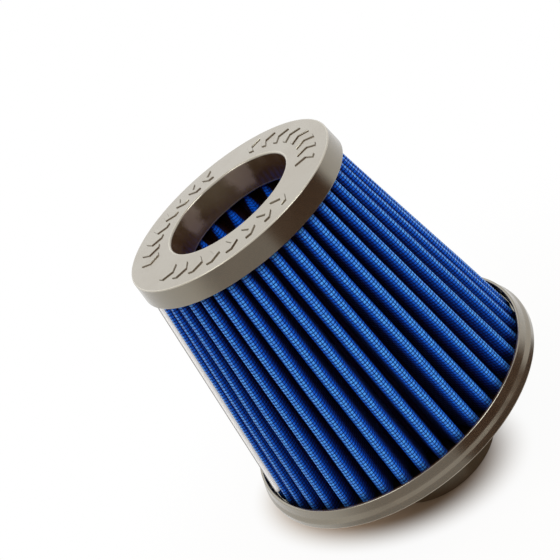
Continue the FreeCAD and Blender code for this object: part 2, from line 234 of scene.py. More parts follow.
# Painted shadow: inside the oval the floor's colour turns brown
floor_colour = blend_colour(tree, pool, FLOOR_PALE, FLOOR_PAINTED_SHADOW)
set_inputs(tree, floor_shader, {"Base Color": floor_colour, "Roughness": 0.6, "Specular IOR Level": 0.2})
near_white = calc(tree, "MULTIPLY_ADD", pool, -POOL_SHARE, POOL_SHARE)
far_white = smooth_step(tree, vector(tree, "LENGTH", place), FAR_START, FAR_END, 0.0, 1.0 - POOL_SHARE)
white = calc(tree, "ADD", near_white, far_white)
looking, mirrored = kinds_of_ray(tree)
# Painted dark reflection: only mirrored rays see the floor dimmed in front
dim = product(tree, dim_front(tree, place), mirrored)
glow = add_node(tree, "ShaderNodeEmission", {"Color": WHITE, "Strength": calc(tree, "SUBTRACT", 1.0, dim)})
mixer = add_node(tree, "ShaderNodeMixShader", {
    0: product(tree, white, looking), 1: floor_shader.outputs[0], 2: glow.outputs[0]})
tree.links.new(mixer.outputs[0], tree.nodes["Material Output"].inputs["Surface"])
floor_mesh.materials.append(floor_paint)
print("floor of", 2 * FLOOR_HALF, "m, plain white beyond", FAR_END, "m from the axis")

# %% [markdown]
# ## The light
# Soft light lets the shapes speak. A large weak panel behind the filter is mirrored by the top ring's
# face, a strong one at the front right picks out the folds, and one on the left fills their shade. The
# sky is plain white to the eye, but gives most of its light from overhead, so that the room under the
# filter stays dim. Low down it is dimmed for reflections in the same way as the floor.

# %% Sky and lamps
SKY_LOW, SKY_HIGH = 0.06, 0.66
SKY_FOOT, SKY_CROWN = -0.1, 0.8
WALL_FULL, WALL_TOP = 0.30, 0.60
LAMP_TARGET = Vector((0.0, 0.0, 100.0 * MM))
# Name, azimuth and elevation in degrees, then distance, width and height in metres, and radiance
PANELS = [
    ("key_panel", 105, 36, 1.3, 1.7, 0.9, 0.58),
    ("front_panel", -42, 42, 1.2, 0.6, 0.6, 5.8),
    ("left_panel", -150, 50, 1.2, 0.6, 0.6, 3.8),
]

world = bpy.data.worlds.new("sky")
bpy.context.scene.world = world
world.use_nodes = True
tree = world.node_tree
looking, mirrored = kinds_of_ray(tree)
sky_way = add_node(tree, "ShaderNodeTexCoord").outputs["Generated"]
sky_rise = along(tree, sky_way, "Z")
sky = smooth_step(tree, sky_rise, SKY_FOOT, SKY_CROWN, SKY_LOW, SKY_HIGH)
strength = add_node(tree, "ShaderNodeMapRange", {"Value": looking, "To Min": sky, "To Max": 1.0}).outputs[0]
low_down = smooth_step(tree, sky_rise, WALL_FULL, WALL_TOP, 1.0, 0.0)
# The same painted dark reflection in the low sky, for mirrored rays only
dim = product(tree, dim_front(tree, sky_way), mirrored, low_down)
strength = calc(tree, "SUBTRACT", strength, dim)
set_inputs(tree, tree.nodes["Background"], {"Color": WHITE, "Strength": strength})


def softbox(name, azimuth, elevation, away, width, height, radiance):
    """An area lamp that looks at the filter's middle, as bright as a white card under that radiance."""
    lamp = bpy.data.lights.new(name, "AREA")
    lamp.shape = "RECTANGLE"
    lamp.size = width
    lamp.size_y = height
    lamp.energy = radiance * math.pi * width * height
    obj = bpy.data.objects.new(name, lamp)
    bpy.context.scene.collection.objects.link(obj)
    a, e = math.radians(azimuth), math.radians(elevation)
    way = Vector((math.cos(a) * math.cos(e), math.sin(a) * math.cos(e), math.sin(e)))
    facing = way.to_track_quat("Z", "Y").to_matrix().to_4x4()
    obj.matrix_world = Matrix.Translation(LAMP_TARGET + way * away) @ facing
    obj.visible_camera = False
    print(name, "at", [round(v, 2) for v in obj.location], "power", round(lamp.energy, 1), "W")


for panel in PANELS:
    softbox(*panel)

# %% [markdown]
# ## Turned mouldings
# The two end rings and the cap inside are moulded, and round about the axis. A lathe is the plain
# way to make them: an outline of radius and height, turned once round. What makes moulded parts
# look real is that no edge is sharp, so the outline is given with a rounding at every corner, and
# two guard points beside each rounding keep the flats flat under smooth shading.

# %% Lathe helpers
TURNS = 240
ROUND_STEPS = 6
GUARD = 0.12 * MM
GUARD_ROOM = 3 * GUARD
ON_AXIS, SAME_POINT = 1e-9, 1e-7
PLAIN_WEAR = 0.03


def rounded_outline(corners):
    """Points (radius, height, edge) of a closed outline from corners (radius, height, rounding, wear or
    painted highlight).
    """
    count = len(corners)
    spots = [Vector(corner[:2]) * MM for corner in corners]
    ways, cuts, angles = [], [], []
    for i in range(count):
        back = (spots[i - 1] - spots[i]).normalized()
        ahead = (spots[(i + 1) % count] - spots[i]).normalized()
        angle = back.angle(ahead)
        ways.append((back, ahead))
        angles.append(angle)
        cuts.append(corners[i][2] * MM / math.tan(angle / 2))
    points = []
    for i, (_, _, rounding, *edge_rub_highlight) in enumerate(corners):
        back, ahead = ways[i]
        room_back = (spots[i - 1] - spots[i]).length - cuts[i] - cuts[i - 1]
        room_ahead = (spots[(i + 1) % count] - spots[i]).length - cuts[i] - cuts[(i + 1) % count]
        start, end = spots[i] + back * cuts[i], spots[i] + ahead * cuts[i]
        if rounding == 0:
            points.append((*spots[i], 0.0))
            continue
        if room_back > GUARD_ROOM:
            points.append((*(start + back * GUARD), 0.0))
        centre = spots[i] + (back + ahead).normalized() * rounding * MM / math.sin(angles[i] / 2)
        first, last = start - centre, end - centre
        sweep = first.angle_signed(last)
        for step in range(ROUND_STEPS + 1):
            spoke = Matrix.Rotation(-sweep * step / ROUND_STEPS, 2) @ first
            points.append((*(centre + spoke), edge_rub_highlight[0] if edge_rub_highlight else PLAIN_WEAR))
        if room_ahead > GUARD_ROOM:
            points.append((*(end + ahead * GUARD), 0.0))
    return points


def lathe(name, corners):
    """A closed ring or disc turned from its outline, smooth, with the edge value kept on its vertices."""
    outline = rounded_outline(corners)
    bm = bmesh.new()
    edge_layer = bm.verts.layers.float.new("edge")
    rings = []
    for turn in range(TURNS):
        a = 2 * math.pi * turn / TURNS
        ring = []
        for radius, height, edge in outline:
            vert = bm.verts.new((radius * math.cos(a), radius * math.sin(a), height))
            vert[edge_layer] = edge
            ring.append(vert)
        rings.append(ring)
    count = len(outline)
    for turn in range(TURNS):
        here, after = rings[turn], rings[(turn + 1) % TURNS]
        for i in range(count):
            j = (i + 1) % count
            if outline[i][0] + outline[j][0] > ON_AXIS:
                bm.faces.new((here[i], after[i], after[j], here[j]))
    bmesh.ops.remove_doubles(bm, verts=bm.verts, dist=SAME_POINT)
    bmesh.ops.recalc_face_normals(bm, faces=bm.faces)
    for face in bm.faces:
        face.smooth = True
    mesh = bpy.data.meshes.new(name)
    bm.to_mesh(mesh)
    bm.free()
    print(name, len(outline), "outline points,", len(mesh.polygons), "faces")
    return mesh


def finished(name, mesh, material, node):
    """Put a finished mesh in the scene as a piece that stands for a CAD node."""
    piece = bpy.data.objects.new(name, mesh)
    bpy.context.scene.collection.objects.link(piece)
    mesh.materials.clear()
    mesh.materials.append(material)
    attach(piece, "root")
    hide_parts(node)


print("lathe ready:", TURNS, "steps round the axis,", ROUND_STEPS, "in each rounding")

# %% [markdown]
# ## The moulded finish
# The rings are a warm dark grey-brown, cast smooth and glossy, so most of what one sees on them is the
# room: pale on faces that mirror the white round the filter, dark where they mirror its dim front. A
# group of nodes shared by all moulded pieces gives the small unevenness of a cast skin: soft clouds
# that vary colour and roughness, and a fine pebble in the surface. Edges are rubbed a little paler, and a
# few edges carry a stronger pale line, a painted highlight. The groove that holds the folds is darkened
# with painted shade, and two faint pale patches on the wall of the hole are painted reflections.

# %% Moulded skin
CLOUD_LOW, CLOUD_HIGH = 0.3, 0.7
MOULDING_DARK = (0.042, 0.018, 0.007, 1.0)
MOULDING_LIGHT = (0.054, 0.025, 0.011, 1.0)
# Pale colour of the edges: a little rubbing, and a painted highlight where an edge's value is high
MOULDING_RUB_AND_HIGHLIGHT, RUB_AND_HIGHLIGHT_SHARE = (0.46, 0.42, 0.37, 1.0), 0.7
SKIN_SMOOTH, SKIN_ROUGH = 0.18, 0.26
# The groove's painted shade: each pair is the start and the end of a soft edge, in height or in radius
GROOVE_PAINTED_SHADE = (0.006, 0.004, 0.003, 1.0)
GROOVE_SHADE_FOOT, GROOVE_SHADE_TOP = (43.4 * MM, 43.6 * MM), (47.0 * MM, 48.8 * MM)
GROOVE_SHADE_INNER, GROOVE_SHADE_OUTER = (53.0 * MM, 54.0 * MM), (71.2 * MM, 71.6 * MM)
# The painted reflection patches: middle and half width in degrees, the share of that width that is full, and
# soft edges
PAINTED_REFLECTION_PALE = (0.19, 0.135, 0.115, 1.0)
REFLECTION_PATCHES = [(72.0, 17.0), (130.0, 14.0)]
PATCH_CORE, PATCH_SHARE, PATCH_WANDER = 0.4, 0.8, math.radians(10.0)
PATCH_WALL, PATCH_FOOT = (31.2 * MM, 31.4 * MM), (156.0 * MM, 160.0 * MM)

skin, skin_in, skin_out = node_group(
    "cast_skin", "ShaderNodeTree",
    [("Cloud Scale", "NodeSocketFloat", 60.0), ("Pebble Scale", "NodeSocketFloat", 420.0)],
    [("Cloud", "NodeSocketFloat"), ("Pebble", "NodeSocketFloat")])
place = object_place(skin)
cloud = add_node(skin, "ShaderNodeTexNoise", {
    "Vector": place, "Scale": skin_in.outputs["Cloud Scale"], "Detail": 4.0, "Roughness": 0.6})
pebble = add_node(skin, "ShaderNodeTexNoise", {
    "Vector": place, "Scale": skin_in.outputs["Pebble Scale"], "Detail": 2.0})
skin.links.new(smooth_step(skin, cloud.outputs[0], CLOUD_LOW, CLOUD_HIGH), skin_out.inputs["Cloud"])
skin.links.new(pebble.outputs[0], skin_out.inputs["Pebble"])

moulding, tree, shader = new_material("taupe_moulding")
surface = add_node(tree, "ShaderNodeGroup", node_tree=skin)
clouds = surface.outputs["Cloud"]
# Paler edges: plain rubbing everywhere, and a painted highlight on the edges given a high value
rub_and_highlight = calc(tree, "MULTIPLY", mesh_value(tree, "edge"), RUB_AND_HIGHLIGHT_SHARE)
colour = blend_colour(tree, clouds, MOULDING_DARK, MOULDING_LIGHT)
colour = blend_colour(tree, rub_and_highlight, colour, MOULDING_RUB_AND_HIGHLIGHT)
place = object_place(tree)
rise = along(tree, place, "Z")
from_axis = vector(tree, "LENGTH", vector(tree, "MULTIPLY", place, LEVEL))
# Painted shade in the groove where the folds stand
groove_shade = product(
    tree, smooth_step(tree, rise, *GROOVE_SHADE_TOP, 1.0, 0.0), smooth_step(tree, rise, *GROOVE_SHADE_FOOT),
    smooth_step(tree, from_axis, *GROOVE_SHADE_OUTER, 1.0, 0.0), smooth_step(tree, from_axis, *GROOVE_SHADE_INNER))
colour = blend_colour(tree, groove_shade, colour, GROOVE_PAINTED_SHADE)
# Two painted reflections: pale patches on the wall of the hole
azimuth = calc(tree, "ARCTAN2", along(tree, place, "Y"), along(tree, place, "X"))
azimuth = calc(tree, "MULTIPLY_ADD", clouds, PATCH_WANDER, azimuth)
reflection_patch = 0.0
for middle, half in REFLECTION_PATCHES:
    off = calc(tree, "ABSOLUTE", calc(tree, "SUBTRACT", azimuth, math.radians(middle)))
    one = smooth_step(tree, off, math.radians(half * PATCH_CORE), math.radians(half), 1.0, 0.0)
    reflection_patch = calc(tree, "ADD", reflection_patch, one)
reflection_patch = product(tree, reflection_patch, smooth_step(tree, from_axis, *PATCH_WALL, PATCH_SHARE, 0.0),
                smooth_step(tree, rise, *PATCH_FOOT))
colour = blend_colour(tree, reflection_patch, colour, PAINTED_REFLECTION_PALE)
roughness = smooth_step(tree, clouds, 0.0, 1.0, SKIN_SMOOTH, SKIN_ROUGH)
bump = add_node(tree, "ShaderNodeBump", {
    "Height": surface.outputs["Pebble"], "Strength": 0.012, "Distance": 0.1 * MM})
set_inputs(tree, shader, {
    "Base Color": colour, "Roughness": roughness, "Normal": bump.outputs[0],
    "IOR": 2.45, "Coat Weight": 0.4, "Coat Roughness": 0.12, "Coat IOR": 1.9,
    "Specular Tint": (1.0, 0.955, 0.74, 1.0)})
print("moulding:", len(tree.nodes), "nodes")

# %% [markdown]
# ## The base ring
# The base holds the foot of the folds in a groove, and carries the neck that is clamped to the
# intake pipe. Its outside is a straight flange edge below, a small step, and a collar that leans in
# to a thin lip. The filter stands on the neck's mouth.

# %% Base ring
NECK_BORE, NECK_OUTER, NECK_LENGTH = 28.6, 32.0, 40.0
BASE_RADIUS, COLLAR_RADIUS = 75.0, 73.7
FLANGE_TOP, COLLAR_FOOT = NECK_LENGTH + 3.2, NECK_LENGTH + 5.2
GROOVE_FLOOR, LIP_TOP = NECK_LENGTH + 4.5, NECK_LENGTH + 9.0
LIP_INNER, LIP_OUTER, GROOVE_OUTER = 71.3, 72.6, 70.8
BEAD_FOOT, BEAD_OUTER, BEAD_INNER, BEAD_TOP = 55.7, 55.23, 52.23, GROOVE_FLOOR + 4.0
NECK_MOUTH_ROUND, NECK_ROOT_ROUND, BORE_TOP_ROUND = 0.8, 2.5, 2.0
FLANGE_EDGE_ROUND, FLANGE_TOP_ROUND, COLLAR_ROUND = 0.5, 1.6, 2.0
LIP_ROUND, BEAD_ROUND, INNER_ROUND = 0.5, 1.0, 0.3
# The lower edge of the flange carries a painted highlight
FLANGE_EDGE_HIGHLIGHT = 1.0

base_mesh = lathe("base_moulding", [
    (NECK_BORE, 0.0, NECK_MOUTH_ROUND),
    (NECK_OUTER, 0.0, NECK_MOUTH_ROUND),
    (NECK_OUTER, NECK_LENGTH, NECK_ROOT_ROUND),
    (BASE_RADIUS, NECK_LENGTH, FLANGE_EDGE_ROUND, FLANGE_EDGE_HIGHLIGHT),
    (BASE_RADIUS, FLANGE_TOP, FLANGE_TOP_ROUND),
    (COLLAR_RADIUS, COLLAR_FOOT, COLLAR_ROUND),
    (LIP_OUTER, LIP_TOP, LIP_ROUND),
    (LIP_INNER, LIP_TOP, LIP_ROUND),
    (GROOVE_OUTER, GROOVE_FLOOR, INNER_ROUND),
    (BEAD_FOOT, GROOVE_FLOOR, INNER_ROUND),
    (BEAD_OUTER, BEAD_TOP, BEAD_ROUND),
    (BEAD_INNER, BEAD_TOP, BEAD_ROUND),
    (BEAD_INNER, GROOVE_FLOOR, INNER_ROUND),
    (NECK_BORE, GROOVE_FLOOR, BORE_TOP_ROUND),
])
finished("base_moulding", base_mesh, moulding, "base_ring")

# %% [markdown]
# ## Repeating round the axis
# Folds and marks all repeat round the axis, so one Geometry Nodes tree serves them all. It takes
# whatever mesh the object has, sets copies of it at equal steps of angle, gives each copy a random
# tone, makes the copies real, welds their seams and may let them sway a little between two heights,
# as a folded cloth does. The sway fades to nothing at both ends, where the rings hold the folds, down
# in the roots, and beside the still angle, where a clip holds the crest.

# %% Repeat tree
STILL_FULL, STILL_END = math.cos(math.radians(4)), math.cos(math.radians(9))

repeat, repeat_in, repeat_out = node_group(
    "repeat_round_axis", "GeometryNodeTree",
    [("Geometry", "NodeSocketGeometry", None), ("Copies", "NodeSocketInt", 1),
     ("First Angle", "NodeSocketFloat", 0.0), ("Step", "NodeSocketFloat", 0.0),
     ("Weld", "NodeSocketFloat", 1e-6), ("Sway", "NodeSocketFloat", 0.0),
     ("Sway Low", "NodeSocketFloat", 0.0), ("Sway High", "NodeSocketFloat", 1.0),
     ("Still Angle", "NodeSocketFloat", 0.0),
     ("Seed", "NodeSocketInt", 1), ("Material", "NodeSocketMaterial", None)],
    [("Geometry", "NodeSocketGeometry")])
index = add_node(repeat, "GeometryNodeInputIndex").outputs[0]
turn = calc(repeat, "MULTIPLY_ADD", index, repeat_in.outputs["Step"], repeat_in.outputs["First Angle"])
turn = add_node(repeat, "ShaderNodeCombineXYZ", {"Z": turn}).outputs[0]
turn = add_node(repeat, "FunctionNodeEulerToRotation", {0: turn}).outputs[0]
points = add_node(repeat, "GeometryNodeMeshLine", {
    "Count": repeat_in.outputs["Copies"], "Offset": (0.0, 0.0, 0.0)})
copies = add_node(repeat, "GeometryNodeInstanceOnPoints", {
    "Points": points.outputs[0], "Instance": repeat_in.outputs["Geometry"], "Rotation": turn})
tone = add_node(repeat, "FunctionNodeRandomValue", data_type="FLOAT")
repeat.links.new(repeat_in.outputs["Seed"], next(s for s in tone.inputs if s.name == "Seed"))
toned = add_node(repeat, "GeometryNodeStoreNamedAttribute",
                 {"Geometry": copies.outputs[0], "Name": "tone"}, data_type="FLOAT", domain="INSTANCE")
tone_value = next(s for s in tone.outputs if s.enabled)
repeat.links.new(tone_value, next(s for s in toned.inputs if s.name == "Value" and s.enabled))
real = add_node(repeat, "GeometryNodeRealizeInstances", {0: toned.outputs[0]})
welded = add_node(repeat, "GeometryNodeMergeByDistance",
                  {"Geometry": real.outputs[0], "Distance": repeat_in.outputs["Weld"]})
spot = add_node(repeat, "GeometryNodeInputPosition").outputs[0]
height = along(repeat, spot, "Z")
share = add_node(repeat, "ShaderNodeMapRange", {
    "Value": height, "From Min": repeat_in.outputs["Sway Low"], "From Max": repeat_in.outputs["Sway High"]})
arch = calc(repeat, "SINE", calc(repeat, "MULTIPLY", share.outputs[0], math.pi))
own_tone, own_depth = [
    add_node(repeat, "GeometryNodeInputNamedAttribute", {"Name": name}, data_type="FLOAT").outputs[0]
    for name in ("tone", "depth")]
apart = add_node(repeat, "ShaderNodeCombineXYZ", {"Z": own_tone}).outputs[0]
source = vector(repeat, "ADD", spot, apart)
noise = add_node(repeat, "ShaderNodeTexNoise", {"Vector": source, "Scale": 16.0, "Detail": 1.0})
lean = vector(repeat, "SUBTRACT", noise.outputs["Color"], (0.5, 0.5, 0.5))
lean = vector(repeat, "MULTIPLY", lean, (2.0, 2.0, 0.0))
still = add_node(repeat, "ShaderNodeCombineXYZ", {
    "X": calc(repeat, "COSINE", repeat_in.outputs["Still Angle"]),
    "Y": calc(repeat, "SINE", repeat_in.outputs["Still Angle"])}).outputs[0]
beside = vector(repeat, "DOT_PRODUCT", heading(repeat, spot), still)
free = smooth_step(repeat, beside, STILL_END, STILL_FULL, 1.0, 0.0)
off_root = calc(repeat, "SUBTRACT", 1.0, own_depth)
amount = product(repeat, arch, repeat_in.outputs["Sway"], off_root, free)
lean = add_node(repeat, "ShaderNodeVectorMath", {0: lean, "Scale": amount}, operation="SCALE")
swayed = add_node(repeat, "GeometryNodeSetPosition", {
    "Geometry": welded.outputs[0], "Offset": lean.outputs[0]})
painted = add_node(repeat, "GeometryNodeSetMaterial",
                   {"Geometry": swayed.outputs[0], "Material": repeat_in.outputs["Material"]})
repeat.links.new(painted.outputs[0], repeat_out.inputs[0])
REPEAT_SOCKETS = {s.name: s.identifier for s in repeat.interface.items_tree if s.in_out == "INPUT"}


def repeated(name, mesh, **values):
    """The plain mesh of a mesh repeated round the axis; values name the tree's inputs, with _ for a space."""
    carrier = bpy.data.objects.new(name, mesh)
    bpy.context.scene.collection.objects.link(carrier)
    modifier = carrier.modifiers.new("repeat", "NODES")
    modifier.node_group = repeat
    for key, value in values.items():
        modifier[REPEAT_SOCKETS[key.replace("_", " ")]] = value
    graph = bpy.context.evaluated_depsgraph_get()
    result = bpy.data.meshes.new_from_object(carrier.evaluated_get(graph), depsgraph=graph)
    carrier.modifiers.remove(modifier)
    bpy.data.objects.remove(carrier)
    result.name = name
    print(name, len(result.polygons), "faces after repeating")
    return result


print("repeat tree:", len(repeat.nodes), "nodes")

# %% [markdown]
# ## The top ring and its marks
# The top ring is a flat face with an open centre, a short skirt outside and a tapered wall inside.
# Raised chevrons run round the face in three rows. One chevron is modelled with sloping, slightly
# rounded sides, as a mould leaves it, then repeated along a row, and the row round the face.

# %% Top ring
FACE, FACE_RADIUS, HOLE_RADIUS = 169.0, 52.6, 31.0
SKIRT_EDGE, SKIRT_RADIUS, SKIRT_INNER = 159.25, 53.6, 51.0
ROOF_UNDERSIDE, CREST_ROOM = 164.5, 50.1
WALL_END, WALL_END_INNER, WALL_END_OUTER = 154.9, 29.2, 31.8
HOLE_RIM_ROUND, WALL_END_ROUND, SKIRT_EDGE_ROUND, FACE_EDGE_ROUND = 0.9, 0.8, 0.4, 0.5
# The hole rim, the wall end and the face edge carry painted highlights
HOLE_RIM_HIGHLIGHT, WALL_END_HIGHLIGHT, FACE_EDGE_HIGHLIGHT = 0.7, 0.25, 0.9

top_mesh = lathe("top_moulding", [
    (HOLE_RADIUS, FACE, HOLE_RIM_ROUND, HOLE_RIM_HIGHLIGHT),
    (WALL_END_INNER, WALL_END, WALL_END_ROUND, WALL_END_HIGHLIGHT),
    (WALL_END_OUTER, WALL_END, WALL_END_ROUND),
    (WALL_END_OUTER, ROOF_UNDERSIDE, INNER_ROUND),
    (CREST_ROOM, ROOF_UNDERSIDE, INNER_ROUND),
    (SKIRT_INNER, SKIRT_EDGE, INNER_ROUND),
    (SKIRT_RADIUS, SKIRT_EDGE, SKIRT_EDGE_ROUND),
    (FACE_RADIUS, FACE, FACE_EDGE_ROUND, FACE_EDGE_HIGHLIGHT),
])

# %% Chevrons
MARK_INNER, MARK_OUTER, MARK_POINT, MARK_STROKE = 37.2, 46.4, 3.0, 2.8
MARK_RELIEF, MARK_SUNK, MARK_DRAFT = 0.5, 0.3, 0.25
MARKS_IN_ROW, MARK_ROWS = 8, 3
MARK_SPAN, MARK_TURN = math.radians(84), math.radians(-155)


def chevron(name):
    """One raised chevron on +X that points round the face, with a soft top edge."""
    middle = (MARK_INNER + MARK_OUTER) / 2
    corners = [(MARK_INNER, 0.0), (middle, MARK_POINT), (MARK_OUTER, 0.0),
               (MARK_OUTER, MARK_STROKE), (middle, MARK_POINT + MARK_STROKE), (MARK_INNER, MARK_STROKE)]
    bm = bmesh.new()
    edge_layer = bm.verts.layers.float.new("edge")
    bottom = [bm.verts.new((x * MM, y * MM, (FACE - MARK_SUNK) * MM)) for x, y in corners]
    sole = bm.faces.new(bottom)
    raised = bmesh.ops.extrude_face_region(bm, geom=[sole])["geom"]
    top = [item for item in raised if isinstance(item, bmesh.types.BMVert)]
    for vert in top:
        vert.co.z = (FACE + MARK_RELIEF) * MM
        vert[edge_layer] = PLAIN_WEAR
    bmesh.ops.recalc_face_normals(bm, faces=bm.faces)
    rim = [e for e in bm.edges if all(v in top for v in e.verts)]
    bmesh.ops.bevel(bm, geom=rim, offset=MARK_DRAFT * MM, segments=2, profile=0.6, affect="EDGES")
    mesh = bpy.data.meshes.new(name)
    bm.to_mesh(mesh)
    bm.free()
    return mesh


mark_row = repeated("mark_row", chevron("chevron"), Copies=MARKS_IN_ROW, First_Angle=MARK_TURN,
                    Step=MARK_SPAN / (MARKS_IN_ROW - 1))
marks = repeated("marks", mark_row, Copies=MARK_ROWS, Step=2 * math.pi / MARK_ROWS)
bm = bmesh.new()
bm.from_mesh(top_mesh)
bm.from_mesh(marks)
bm.to_mesh(top_mesh)
bm.free()
finished("top_moulding", top_mesh, moulding, "top_ring")

# %% [markdown]
# ## The cap under the inverted cone
# A second, smaller folded cone hangs point-down inside the filter, closed at its foot by a shallow
# moulded cup. It shows from above through the hole, and from below through the neck.

# %% Cone cap
CONE_FOOT = 92.5
CAP_UNDERSIDE, CAP_RIM_TOP, CAP_HUB_TOP = CONE_FOOT - 3.5, CONE_FOOT + 6.0, CONE_FOOT + 3.0
CAP_RADIUS, CAP_RIM_OUTER, CAP_RIM_INNER, CAP_CHANNEL, CAP_HUB = 29.8, 30.99, 28.49, 27.3, 20.2
CAP_ROUND, CAP_RIM_ROUND, CAP_CHANNEL_ROUND = 1.0, 0.5, 0.2

cap_mesh = lathe("cone_cup", [
    (0.0, CAP_UNDERSIDE, 0.0),
    (CAP_RADIUS, CAP_UNDERSIDE, CAP_ROUND),
    (CAP_RIM_OUTER, CAP_RIM_TOP, CAP_RIM_ROUND),
    (CAP_RIM_INNER, CAP_RIM_TOP, CAP_RIM_ROUND),
    (CAP_CHANNEL, CONE_FOOT, CAP_CHANNEL_ROUND),
    (CAP_HUB, CONE_FOOT, CAP_CHANNEL_ROUND),
    (CAP_HUB, CAP_HUB_TOP, CAP_ROUND),
    (0.0, CAP_HUB_TOP, 0.0),
])
finished("cone_cup", cap_mesh, moulding, "cone_cap")

# %% [markdown]
# ## The folded mesh
# A filter sheet is woven flat, folded like a fan and closed into a cone, so a fold keeps its bend
# radius from foot to head while its depth shrinks. One fold is built as two skins, outside and
# inside of the sheet, between its two levels. The length along the sheet goes into a UV map measured
# in threads, so that the weave follows every bend, and the depth below the crest goes into an
# attribute, which the finish uses for the shade between the folds.

# %% One fold
SHEET, BEND = 1.0, 1.2
CREST_STEPS, FLANK_STEPS, ROOT_STEPS = 12, 7, 5
INSIDE_ROWS_PER = 4
THREAD_ACROSS, THREAD_ALONG = 1.42, 1.51
LEVEL_FACE = 0.9


class Level:
    """One level of a folded sheet, as the CAD model draws it: bends joined by straight flanks."""

    def __init__(self, count, crest, depth, height):
        self.count, self.crest, self.depth, self.height = count, crest, depth, height
        self.half = math.pi / count
        self.crest_centre = crest - (BEND + SHEET)
        self.root_centre = crest - depth + BEND
        across = self.root_centre * math.cos(self.half) - self.crest_centre
        along = self.root_centre * math.sin(self.half)
        reach = math.hypot(across, along)
        self.flank = math.atan2(along, across) - math.acos((2 * BEND + SHEET) / reach)

    def line(self, inside):
        """Points of one fold from root to root, its crest on +X, each with its run from the crest."""
        crest_bend = BEND if inside else BEND + SHEET
        root_bend = BEND + SHEET if inside else BEND
        side = []
        for step in range(CREST_STEPS // 2 + 1):
            turn = self.flank * 2 * step / CREST_STEPS
            across = self.crest_centre + crest_bend * math.cos(turn)
            side.append(Vector((across, crest_bend * math.sin(turn))))
        root = self.root_centre * Vector((math.cos(self.half), math.sin(self.half)))
        bend = []
        for step in range(ROOT_STEPS + 1):
            turn = self.half + math.pi + (self.flank - self.half) * (1 - step / ROOT_STEPS)
            bend.append(root + root_bend * Vector((math.cos(turn), math.sin(turn))))
        for step in range(1, FLANK_STEPS):
            side.append(side[CREST_STEPS // 2].lerp(bend[0], step / FLANK_STEPS))
        side += bend
        runs = [0.0]
        for a, b in zip(side, side[1:]):
            runs.append(runs[-1] + (b - a).length)
        half_line = list(zip(side, runs))
        mirrored = [(Vector((p.x, -p.y)), -run) for p, run in half_line[:0:-1]]
        return mirrored + half_line


def one_fold(name, foot, head, rows):
    """The mesh of one fold between two levels, its two skins closed by strips at foot and head."""
    bm = bmesh.new()
    depth_layer = bm.verts.layers.float.new("depth")
    uv_layer = bm.loops.layers.uv.new("threads")
    threads = {}
    slant = math.hypot(head.height - foot.height, head.crest - foot.crest)
    skins = []
    for inside, row_count in ((False, rows), (True, max(rows // INSIDE_ROWS_PER, 1))):
        low, high = foot.line(inside), head.line(inside)
        skin_rows = []
        for row in range(row_count + 1):
            t = row / row_count
            z = foot.height + t * (head.height - foot.height)
            crest = foot.crest + t * (head.crest - foot.crest)
            depth = foot.depth + t * (head.depth - foot.depth)
            verts = []
            for (p, p_run), (q, q_run) in zip(low, high):
                spot = p.lerp(q, t)
                vert = bm.verts.new((spot.x * MM, spot.y * MM, z * MM))
                vert[depth_layer] = (crest - spot.length) / depth
                threads[vert] = ((p_run + t * (q_run - p_run)) / THREAD_ACROSS, t * slant / THREAD_ALONG)
                verts.append(vert)
            skin_rows.append(verts)
        skins.append(skin_rows)
        for a, b in zip(skin_rows, skin_rows[1:]):
            for i in range(len(a) - 1):
                face = (a[i], a[i + 1], b[i + 1], b[i])
                bm.faces.new(face[::-1] if inside else face)
    for outer, inner, flip in ((skins[0][0], skins[1][0], False), (skins[0][-1], skins[1][-1], True)):
        for i in range(len(outer) - 1):
            face = (outer[i], inner[i], inner[i + 1], outer[i + 1])
            bm.faces.new(face[::-1] if flip else face)
    for face in bm.faces:
        face.smooth = abs(face.normal.z) < LEVEL_FACE
        for loop in face.loops:
            loop[uv_layer].uv = threads[loop.vert]
    mesh = bpy.data.meshes.new(name)
    bm.to_mesh(mesh)
    bm.free()
    print(name, len(mesh.polygons), "faces")
    return mesh


print("a fold has", CREST_STEPS, "steps round its crest and", FLANK_STEPS, "down each flank")

# %% [markdown]
# ## The weave
# The mesh is a plain weave of round threads: each cell shows one thread passing over another, a small
# bright pillow with dark gaps on its four sides. A group of nodes works this out from the UV map that
# counts threads. It gives the height for a bump, the threads between the gaps and a random value for
# every cell, which keeps the pattern from looking printed.

# %% Weave group
CROWN_POWER, DIP_POWER, DIP_SHARE = 0.6, 0.5, 0.75
WEFT_START = 0.08
WARP_START, WARP_END, WARP_LEFT = 0.05, 0.50, 0.03

weave, weave_in, weave_out = node_group(
    "plain_weave", "ShaderNodeTree",
    [("Threads", "NodeSocketVector", None), ("Over Under", "NodeSocketFloat", 0.35),
     ("Gap", "NodeSocketFloat", 0.68)],
    [("Height", "NodeSocketFloat"), ("Thread", "NodeSocketFloat"), ("Cell", "NodeSocketFloat")])
count_xyz = add_node(weave, "ShaderNodeSeparateXYZ", {0: weave_in.outputs["Threads"]})
waves, cells = [], []
for axis in ("X", "Y"):
    value = count_xyz.outputs[axis]
    cells.append(calc(weave, "FLOOR", value))
    waves.append(calc(weave, "ABSOLUTE", calc(weave, "SINE", calc(weave, "MULTIPLY", value, math.pi))))
parity = calc(weave, "FLOORED_MODULO", calc(weave, "ADD", *cells), 2.0)
pillows = []
for over, under in ((waves[0], waves[1]), (waves[1], waves[0])):
    crown = calc(weave, "POWER", over, CROWN_POWER)
    dip = calc(weave, "MULTIPLY_ADD", calc(weave, "POWER", under, DIP_POWER), DIP_SHARE, 1.0 - DIP_SHARE)
    pillows.append(calc(weave, "MULTIPLY", crown, dip))
swing = calc(weave, "MULTIPLY", calc(weave, "SUBTRACT", pillows[1], pillows[0]), parity)
pillow = calc(weave, "ADD", pillows[0], swing)
lift = calc(weave, "MULTIPLY_ADD", parity, weave_in.outputs["Over Under"], 1.0)
